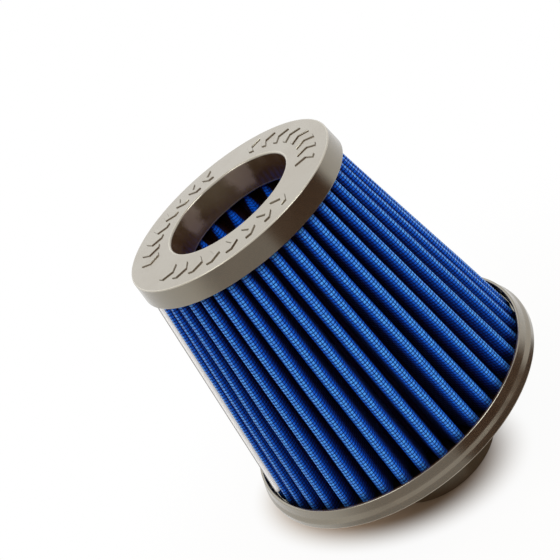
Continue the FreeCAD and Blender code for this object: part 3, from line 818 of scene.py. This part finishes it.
weave.links.new(calc(weave, "MULTIPLY", pillow, lift), weave_out.inputs["Height"])
on_weft = smooth_step(weave, waves[1], WEFT_START, weave_in.outputs["Gap"])
on_warp = smooth_step(weave, waves[0], WARP_START, WARP_END, WARP_LEFT, 1.0)
weave.links.new(calc(weave, "MULTIPLY", on_weft, on_warp), weave_out.inputs["Thread"])
cell_xyz = add_node(weave, "ShaderNodeCombineXYZ", {"X": cells[0], "Y": cells[1]}).outputs[0]
cell_noise = add_node(weave, "ShaderNodeTexWhiteNoise", {"Vector": cell_xyz}, noise_dimensions="2D")
weave.links.new(cell_noise.outputs["Value"], weave_out.inputs["Cell"])
print("weave group:", len(weave.nodes), "nodes")

# %% [markdown]
# ## The blue of the mesh
# The threads on a crest carry a painted highlight and a little polish, and the gaps between them are
# nearly black. Down the flanks painted shade turns the blue dark, and in the valleys it is lost, as little
# light comes there. On the side of the seam, where a lamp looks into the valleys, less of that shade is
# painted. In the hole the noses of the inner folds come out of a painted shadow, the shade that the wall
# of the hole casts on the heads of the inner folds.

# %% Blue mesh
# A painted highlight on the threads of each crest
BLUE_CREST_HIGHLIGHT = (0.068, 0.37, 1.0, 1.0)
BLUE_PLAIN = (0.003, 0.115, 0.76, 1.0)
BLUE_GAP = (0.001, 0.006, 0.065, 1.0)
# Flank and valley colours: painted shade down the flanks and in the valleys
BLUE_FLANK = (0.0020, 0.050, 0.40, 1.0)
BLUE_DEEP = (0.008, 0.003, 0.026, 1.0)
# Painted shadow on the heads of the inner folds, where the hole's wall shades them
INNER_PAINTED_SHADOW = (0.014, 0.003, 0.002, 1.0)
# Depths are shares of a fold's depth, measured from its crest
CROWN_END, CELL_DULL = 0.085, 0.55
POLISH_START, POLISH_END, POLISH_SHARE = 0.008, 0.075, 0.6
GAP_ROUGH, THREAD_ROUGH = 0.75, 0.45
END_SHADE, END_SHARE = 4.0 * MM, 0.5


def blue_mesh(name, shade, dark):
    """Woven blue mesh. The function shade gives how far a spot is off the crest and how deep it lies."""
    material, tree, shader = new_material(name)
    tone, depth = mesh_value(tree, "tone"), mesh_value(tree, "depth")
    shift = add_node(tree, "ShaderNodeCombineXYZ", {"Y": tone}).outputs[0]
    threads = vector(tree, "ADD", add_node(tree, "ShaderNodeUVMap", uv_map="threads").outputs[0], shift)
    cloth = add_node(tree, "ShaderNodeGroup", {"Threads": threads}, node_tree=weave)
    thread, height = cloth.outputs["Thread"], cloth.outputs["Height"]
    # Painted highlight on the crest threads
    crown = product(tree, smooth_step(tree, depth, 0.0, CROWN_END, 1.0, 0.0), thread,
                    smooth_step(tree, cloth.outputs["Cell"], 0.0, 1.0, CELL_DULL, 1.0))
    colour = blend_colour(tree, crown, BLUE_PLAIN, BLUE_CREST_HIGHLIGHT)
    colour = blend_colour(tree, thread, BLUE_GAP, colour)
    off_crest, deep = shade(tree, depth, object_place(tree), height)
    # Painted shade: the blue darkens down the flanks and is lost in the valleys
    flank = blend_colour(tree, thread, BLUE_DEEP, BLUE_FLANK)
    colour = blend_colour(tree, off_crest, colour, flank)
    colour = blend_colour(tree, deep, colour, dark)
    bump = add_node(tree, "ShaderNodeBump", {"Height": height, "Strength": 0.8, "Distance": 0.3 * MM})
    roughness = smooth_step(tree, thread, 0.0, 1.0, GAP_ROUGH, THREAD_ROUGH)
    polish = product(tree, smooth_step(tree, depth, POLISH_START, POLISH_END, 1.0, 0.0), thread,
                     smooth_step(tree, deep, 0.0, END_SHARE, POLISH_SHARE, 0.0))
    set_inputs(tree, shader, {
        "Base Color": colour, "Roughness": roughness, "Normal": bump.outputs[0], "IOR": 1.5,
        "Specular IOR Level": 0.07, "Sheen Weight": 0.12, "Sheen Roughness": 0.25,
        "Sheen Tint": (0.10, 0.28, 1.0, 1.0), "Coat Weight": polish, "Coat Roughness": 0.18, "Coat IOR": 1.5})
    print(name, len(tree.nodes), "nodes")
    return material


# %% Shade between the folds
FOLDS, SEAM_CREST = 44, 23
SEAM_ANGLE = 2 * math.pi * SEAM_CREST / FOLDS
SEAM_WAY = (math.cos(SEAM_ANGLE), math.sin(SEAM_ANGLE), 0.0)
RAISED_REACH = 0.10
FLANK_START, FLANK_END = -0.10, 0.14
VALLEY_START, VALLEY_END = 0.06, 0.40
OPEN_START, OPEN_END, OPEN_LEFT = 0.80, 0.985, 0.2
# Where the painted shadow on the inner folds ends: its tip, how far it falls, and its soft edge
SHADOW_TIP, SHADOW_FALL = 150.8 * MM, 9.0 * MM
SHADOW_BELOW, SHADOW_ABOVE = -0.08, 0.10
NOSE_WIDE, NOSE_NARROW, NOSE_LIMIT = 0.68, 1.0, 0.45


def shade_outer(tree, depth, place, height):
    """Painted shade gathers down the flanks and at both ends; raised threads stay blue a little further down.
    """
    reach = calc(tree, "MULTIPLY_ADD", height, -RAISED_REACH, depth)
    rise = along(tree, place, "Z")
    low_end = smooth_step(tree, rise, LIP_TOP * MM, LIP_TOP * MM + END_SHADE, END_SHARE, 0.0)
    high_end = smooth_step(tree, rise, SKIRT_EDGE * MM - END_SHADE, SKIRT_EDGE * MM, 0.0, END_SHARE)
    off_crest = smooth_step(tree, reach, FLANK_START, FLANK_END)
    beside = vector(tree, "DOT_PRODUCT", heading(tree, place), SEAM_WAY)
    open_valley = smooth_step(tree, beside, OPEN_START, OPEN_END, 1.0, OPEN_LEFT)
    valley = calc(tree, "MULTIPLY", smooth_step(tree, reach, VALLEY_START, VALLEY_END), open_valley)
    deep = calc(tree, "MAXIMUM", valley, calc(tree, "MAXIMUM", low_end, high_end))
    return off_crest, deep


def shade_inner(tree, depth, place, height):
    """A painted shadow of the hole's wall lies on the heads of the folds, so their noses show first as
    points.
    """
    lit_from = add_node(tree, "ShaderNodeMapRange", {
        "Value": along(tree, place, "Z"), "From Min": SHADOW_TIP - SHADOW_FALL, "From Max": SHADOW_TIP,
        "To Min": NOSE_WIDE, "To Max": NOSE_NARROW}, clamp=False).outputs[0]
    lit_from = calc(tree, "MAXIMUM", lit_from, NOSE_LIMIT)
    over_shadow_edge = calc(tree, "SUBTRACT", depth, lit_from)
    in_painted_shadow = smooth_step(tree, over_shadow_edge, SHADOW_BELOW, SHADOW_ABOVE, 1.0, 0.0)
    return in_painted_shadow, in_painted_shadow


outer_cloth = blue_mesh("blue_mesh_outer", shade_outer, BLUE_DEEP)
inner_cloth = blue_mesh("blue_mesh_inner", shade_inner, INNER_PAINTED_SHADOW)

# %% [markdown]
# ## The two folded cones
# With a fold, a weave and a finish ready, each cone takes a few lines: its two levels, and one fold
# repeated round the axis. The outer folds sway a little, and the inner ones keep straight.

# %% Outer folds
FOOT_CREST, FOOT_DEPTH, HEAD_CREST, HEAD_DEPTH = 70.5, 13.5, 49.8, 7.0
FOLD_ROWS, FOLD_SWAY, FOLD_SEED = 24, 0.6 * MM, 4

FOOT = Level(FOLDS, FOOT_CREST, FOOT_DEPTH, GROOVE_FLOOR)
HEAD = Level(FOLDS, HEAD_CREST, HEAD_DEPTH, ROOF_UNDERSIDE)
outer_mesh = repeated("outer_folds", one_fold("outer_fold", FOOT, HEAD, FOLD_ROWS),
                      Copies=FOLDS, Step=2 * math.pi / FOLDS, Sway=FOLD_SWAY,
                      Sway_Low=GROOVE_FLOOR * MM, Sway_High=ROOF_UNDERSIDE * MM,
                      Still_Angle=SEAM_ANGLE, Seed=FOLD_SEED)
finished("outer_folds", outer_mesh, outer_cloth, "outer_pleats")

# %% Inner folds
CONE_FOLDS, CONE_SEAM_CREST, CONE_TURN = 20, 12, math.radians(11.9)
CONE_LOW_CREST, CONE_LOW_DEPTH, CONE_HIGH_CREST, CONE_HIGH_DEPTH = 27.0, 5.5, 41.3, 6.0
CONE_ROWS, CONE_SEED = 16, 9

CONE_LOW = Level(CONE_FOLDS, CONE_LOW_CREST, CONE_LOW_DEPTH, CONE_FOOT)
CONE_HIGH = Level(CONE_FOLDS, CONE_HIGH_CREST, CONE_HIGH_DEPTH, ROOF_UNDERSIDE)
inner_mesh = repeated("inner_folds", one_fold("inner_fold", CONE_LOW, CONE_HIGH, CONE_ROWS),
                      Copies=CONE_FOLDS, First_Angle=CONE_TURN, Step=2 * math.pi / CONE_FOLDS, Seed=CONE_SEED)
finished("inner_folds", inner_mesh, inner_cloth, "inner_pleats")

# %% [markdown]
# ## The seam clips
# Where the sheet's two ends meet, a bright strip is folded over a crest and pinched on it. The strip is
# a thin sheet bent round the crest, with its ends cut round. It is built row by row along the crest:
# each row follows the bend and the two flanks, and narrows near the ends. Along its fold it is darkened
# with painted shade.

# %% Clip metal
STRIP_PALE, STRIP_BRIGHT = (0.96, 0.96, 0.96, 1.0), (0.99, 0.99, 0.99, 1.0)
# Painted shade along the strip's fold
STRIP_FOLD_SHADE = (0.10, 0.09, 0.08, 1.0)
STRIP_GRAIN = (1.0, 1.0, 0.04)
FOLD_SHADE_START, FOLD_SHADE_FULL = 0.25, 0.75
GRAIN_LOW, GRAIN_HIGH, STRIP_SMOOTH, STRIP_ROUGH = 0.2, 0.8, 0.26, 0.42

clip_metal, tree, shader = new_material("bright_strip")
stretch = add_node(tree, "ShaderNodeMapping", {"Vector": object_place(tree), "Scale": STRIP_GRAIN}).outputs[0]
grain = add_node(tree, "ShaderNodeTexNoise", {"Vector": stretch, "Scale": 2600.0, "Detail": 3.0}).outputs[0]
colour = blend_colour(tree, grain, STRIP_PALE, STRIP_BRIGHT)
# Painted shade: the strip turns dark along its fold
fold_shade = smooth_step(tree, mesh_value(tree, "fold"), FOLD_SHADE_START, FOLD_SHADE_FULL)
colour = blend_colour(tree, fold_shade, colour, STRIP_FOLD_SHADE)
roughness = smooth_step(tree, grain, GRAIN_LOW, GRAIN_HIGH, STRIP_SMOOTH, STRIP_ROUGH)
bump = add_node(tree, "ShaderNodeBump", {"Height": grain, "Strength": 0.15, "Distance": 0.05 * MM})
set_inputs(tree, shader, {
    "Base Color": colour, "Roughness": roughness, "Metallic": 0.3, "Normal": bump.outputs[0]})
print("clip metal:", len(tree.nodes), "nodes")

# %% Clips
CLIP_GAUGE, CLIP_CLEARANCE, CLIP_LEG = 0.7, 0.15, 2.2
CLIP_END_ROUND = 4.0
CLIP_END_ROWS = [0.0, 0.08, 0.3, 0.7, 1.3, 2.1, 3.0, CLIP_END_ROUND]
CLIP_ROWS, CLIP_COLUMNS, CLIP_TIP = 12, 24, 0.25
CLIP_FOLD, CLIP_SHARP = 2.0, math.radians(50)
CLIP_HEAD_GAP, CONE_CLIP_GAP, CONE_CLIP_RISE = 0.8, 6.8, 45.0


def level_between(foot, head, height):
    """The level of a folded sheet at a height between its foot and its head."""
    t = (height - foot.height) / (head.height - foot.height)
    return Level(foot.count, foot.crest + t * (head.crest - foot.crest),
                 foot.depth + t * (head.depth - foot.depth), height)


def on_clip(level, radius, run, mid):
    """A point of a clip's section: run goes along its middle surface, over the bend and down a flank."""
    side = math.copysign(1.0, run)
    arc = mid * level.flank
    turn = side * min(abs(run), arc) / mid
    spot = Vector((level.crest_centre + radius * math.cos(turn), radius * math.sin(turn)))
    way = side * (level.flank + math.pi / 2)
    return spot + max(abs(run) - arc, 0.0) * Vector((math.cos(way), math.sin(way)))


def seam_clip(name, foot, head, low, high, angle):
    """A strip folded over the crest at an angle, from one height to another, with rounded ends."""
    near = BEND + SHEET + CLIP_CLEARANCE
    mid = near + CLIP_GAUGE / 2
    length = high - low
    straight = length - 2 * CLIP_END_ROUND
    middle = [CLIP_END_ROUND + straight * i / CLIP_ROWS for i in range(1, CLIP_ROWS)]
    rises = CLIP_END_ROWS + middle + [length - e for e in reversed(CLIP_END_ROWS)]
    spin = Matrix.Rotation(angle, 3, "Z")
    bm = bmesh.new()
    fold_layer = bm.verts.layers.float.new("fold")
    skins = [[], []]
    for rise in rises:
        level = level_between(foot, head, low + rise)
        from_end = min(rise, length - rise, CLIP_END_ROUND)
        narrow = math.sqrt(max(1 - (1 - from_end / CLIP_END_ROUND) ** 2, 0.0))
        half = (mid * level.flank + CLIP_LEG) * max(narrow, CLIP_TIP)
        for skin_rows, radius in zip(skins, (near + CLIP_GAUGE, near)):
            row = []
            for column in range(CLIP_COLUMNS + 1):
                run = half * (2 * column / CLIP_COLUMNS - 1)
                spot = on_clip(level, radius, run, mid)
                vert = bm.verts.new(spin @ Vector((spot.x, spot.y, level.height)) * MM)
                vert[fold_layer] = max(1 - abs(run) / CLIP_FOLD, 0.0)
                row.append(vert)
            skin_rows.append(row)
    outside, inside = skins
    for i in range(len(rises) - 1):
        for c in range(CLIP_COLUMNS):
            bm.faces.new((outside[i][c], outside[i][c + 1], outside[i + 1][c + 1], outside[i + 1][c]))
            bm.faces.new((inside[i][c], inside[i + 1][c], inside[i + 1][c + 1], inside[i][c + 1]))
        for c in (0, CLIP_COLUMNS):
            bm.faces.new((outside[i][c], outside[i + 1][c], inside[i + 1][c], inside[i][c]))
    for i in (0, len(rises) - 1):
        for c in range(CLIP_COLUMNS):
            bm.faces.new((outside[i][c], outside[i][c + 1], inside[i][c + 1], inside[i][c]))
    bmesh.ops.recalc_face_normals(bm, faces=bm.faces)
    for face in bm.faces:
        face.smooth = True
    for edge in bm.edges:
        edge.smooth = edge.calc_face_angle(0.0) <= CLIP_SHARP
    mesh = bpy.data.meshes.new(name)
    bm.to_mesh(mesh)
    bm.free()
    print(name, len(mesh.polygons), "faces")
    return mesh


outer_clip_mesh = seam_clip("outer_clip", FOOT, HEAD, LIP_TOP, SKIRT_EDGE - CLIP_HEAD_GAP, SEAM_ANGLE)
finished("outer_clip", outer_clip_mesh, clip_metal, "outer_seam_clip")
cone_clip_low = CONE_FOOT + CONE_CLIP_GAP
cone_seam_angle = CONE_TURN + 2 * math.pi * CONE_SEAM_CREST / CONE_FOLDS
inner_clip_mesh = seam_clip("inner_clip", CONE_LOW, CONE_HIGH, cone_clip_low, cone_clip_low + CONE_CLIP_RISE,
                            cone_seam_angle)
finished("inner_clip", inner_clip_mesh, clip_metal, "inner_seam_clip")
